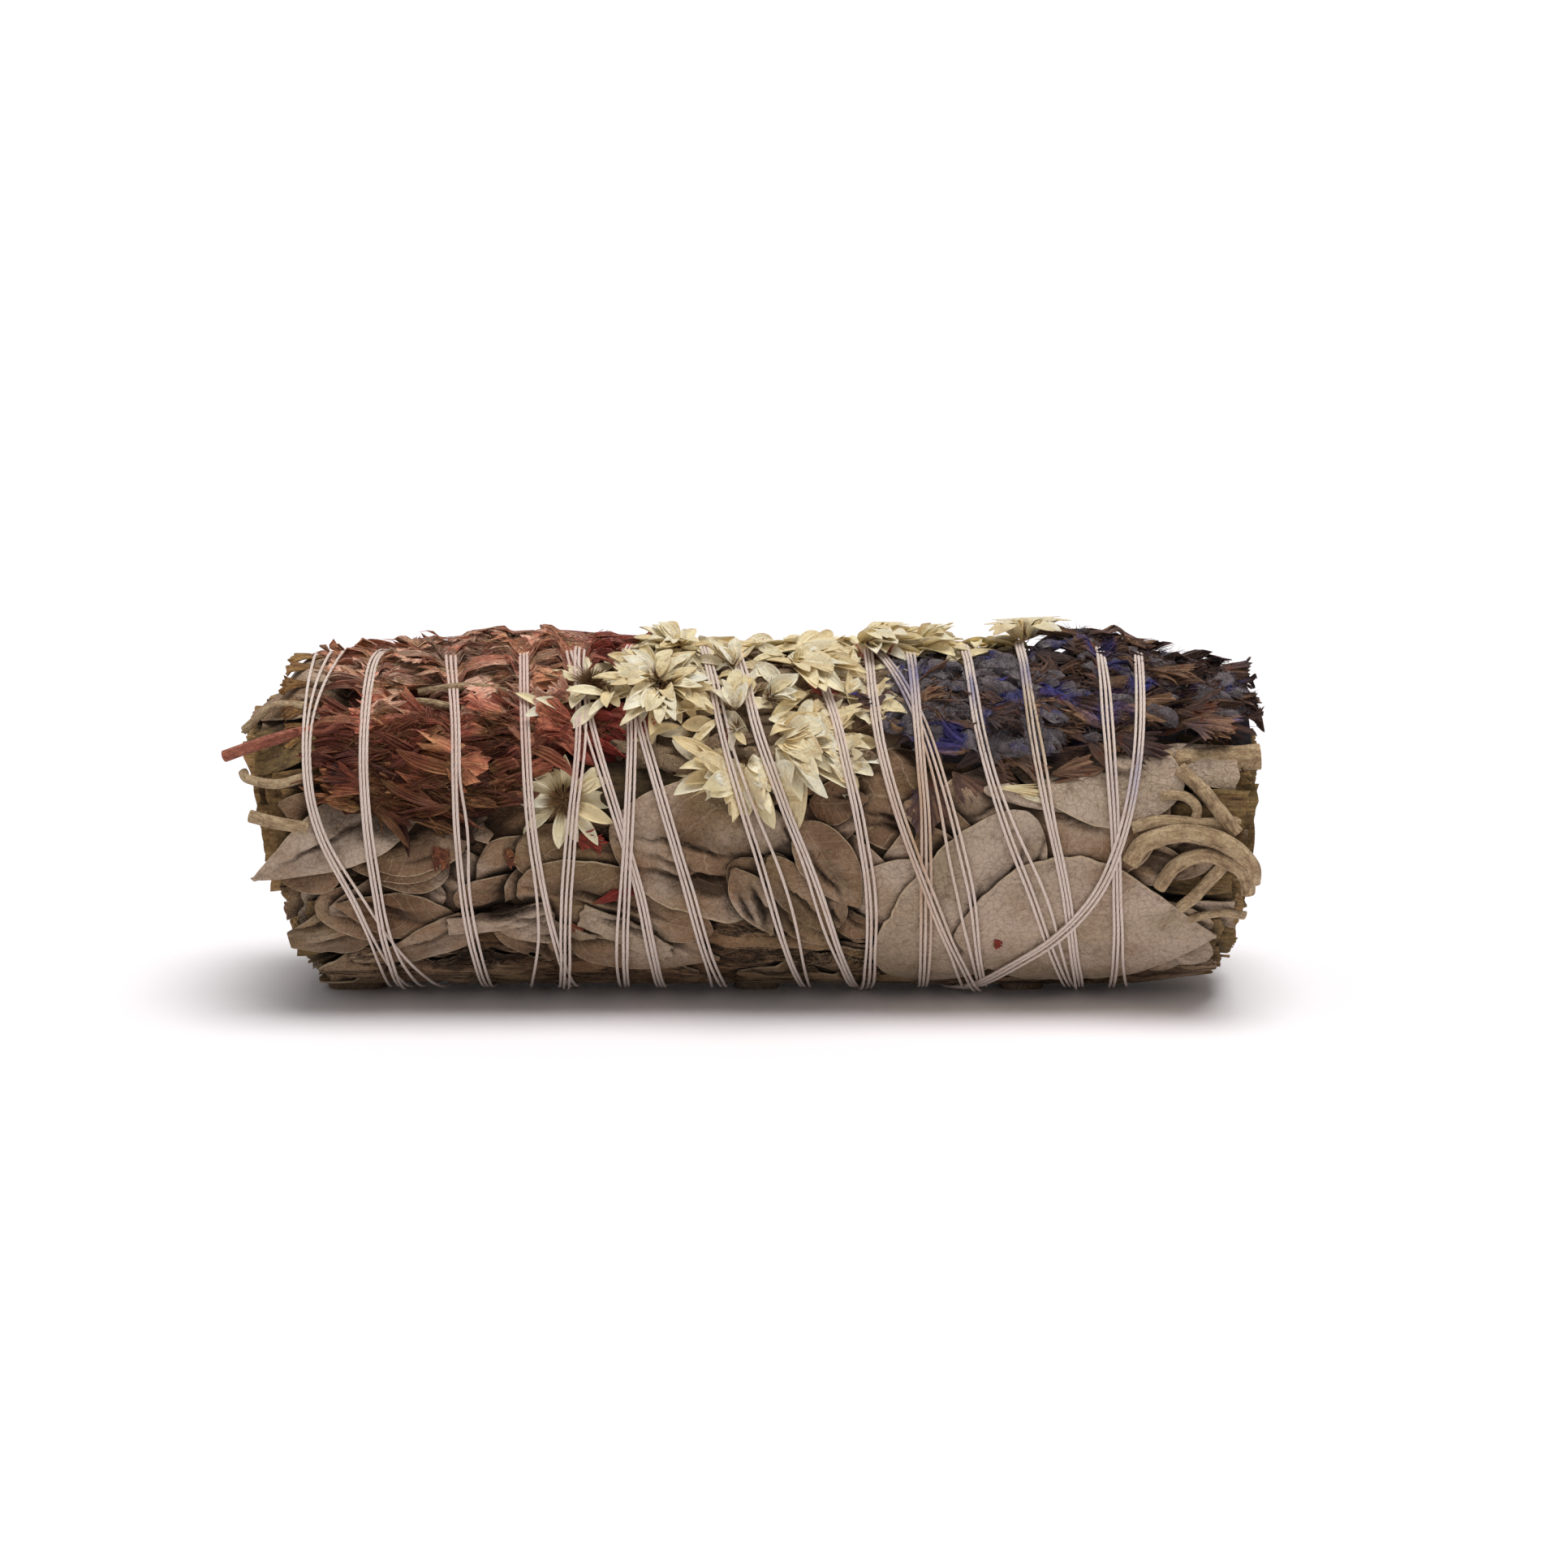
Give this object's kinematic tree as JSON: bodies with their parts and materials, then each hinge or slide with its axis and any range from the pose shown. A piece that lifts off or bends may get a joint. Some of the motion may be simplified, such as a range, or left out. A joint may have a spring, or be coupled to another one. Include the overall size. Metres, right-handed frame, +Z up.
{
  "type": "sage smudge stick",
  "caption": "Dried sage bundle wrapped in its own leaves, dressed with red, cream and blue dried flowers and bound along its length with cotton string.",
  "frame": {"origin": "centre of the footprint, on the surface that the bundle lies on", "axes": "+X along the bundle towards the end dressed with blue flowers, -Y out of its dressed front, +Z up"},
  "size_m": [0.1048, 0.0363, 0.0376],
  "materials": {
    "packed_sage": "matt, dry and crumpled, dark in the folds",
    "sage_leaf": "matt grey-taupe leaf with a fine pebbled nap",
    "sage_stem": "matt dry stalk",
    "red_flower": "matt dyed papery flowers, tan at the base",
    "blue_flower": "felted grey-brown flowers stained blue",
    "cream_flower": "smooth translucent straw petals with fine lines",
    "felted_stem": "woolly grey-brown stalks",
    "cotton_string": "soft twisted cotton, in places dyed by the flowers"
  },
  "bodies": {
    "root": {"sage_core": "packed_sage", "sage_leaf_front_right": "sage_leaf", "sage_leaf_left_point": "sage_leaf", "sage_leaf_middle_small": "sage_leaf", "sage_leaf_middle_slim": "sage_leaf", "sage_leaf_right_upper": "sage_leaf", "sage_leaf_centre_pale": "sage_leaf", "sage_leaf_middle_large": "sage_leaf", "sage_leaf_right_veined": "sage_leaf", "sage_leaf_brown": "sage_leaf", "sage_leaf_left_low": "sage_leaf", "sage_leaf_left_wrinkled": "sage_leaf", "sage_leaf_left_crest": "sage_leaf", "sage_leaf_low_middle": "sage_leaf", "sage_leaf_low_left": "sage_leaf", "sage_leaf_low_right": "sage_leaf", "sage_leaf_under_left": "sage_leaf", "sage_leaf_under_right": "sage_leaf", "sage_leaf_back_low_left": "sage_leaf", "sage_leaf_back_low_right": "sage_leaf", "sage_leaf_back_high_right": "sage_leaf", "sage_leaf_back_high_left": "sage_leaf", "sage_leaf_back_top_left": "sage_leaf", "sage_leaf_back_top_right": "sage_leaf", "sage_fold_under_left": "sage_leaf", "sage_fold_under_middle": "sage_leaf", "sage_fold_under_right": "sage_leaf", "sage_petiole_outer": "sage_stem", "sage_petiole_long": "sage_stem", "sage_stem_end_right": "sage_stem", "red_spray_front": "red_flower", "red_spray_top": "red_flower", "red_stem": "red_flower", "blue_spray_left": "blue_flower", "blue_spray_right": "blue_flower", "cream_bloom_star": "cream_flower", "cream_bloom_left": "cream_flower", "cream_bloom_full": "cream_flower", "cream_bloom_crest": "cream_flower", "cream_bloom_upright": "cream_flower", "cream_bloom_low_left": "cream_flower", "cream_bloom_low_right": "cream_flower", "cream_bloom_speckled": "cream_flower", "cream_bloom_bud": "cream_flower", "cream_bloom_top_middle": "cream_flower", "cream_bloom_top_right": "cream_flower", "cream_stem_upper": "felted_stem", "cream_stem_middle": "felted_stem", "cream_stem_lower": "felted_stem", "cream_stem_crest": "felted_stem", "binding_string": "cotton_string"}
  },
  "joints": []
}
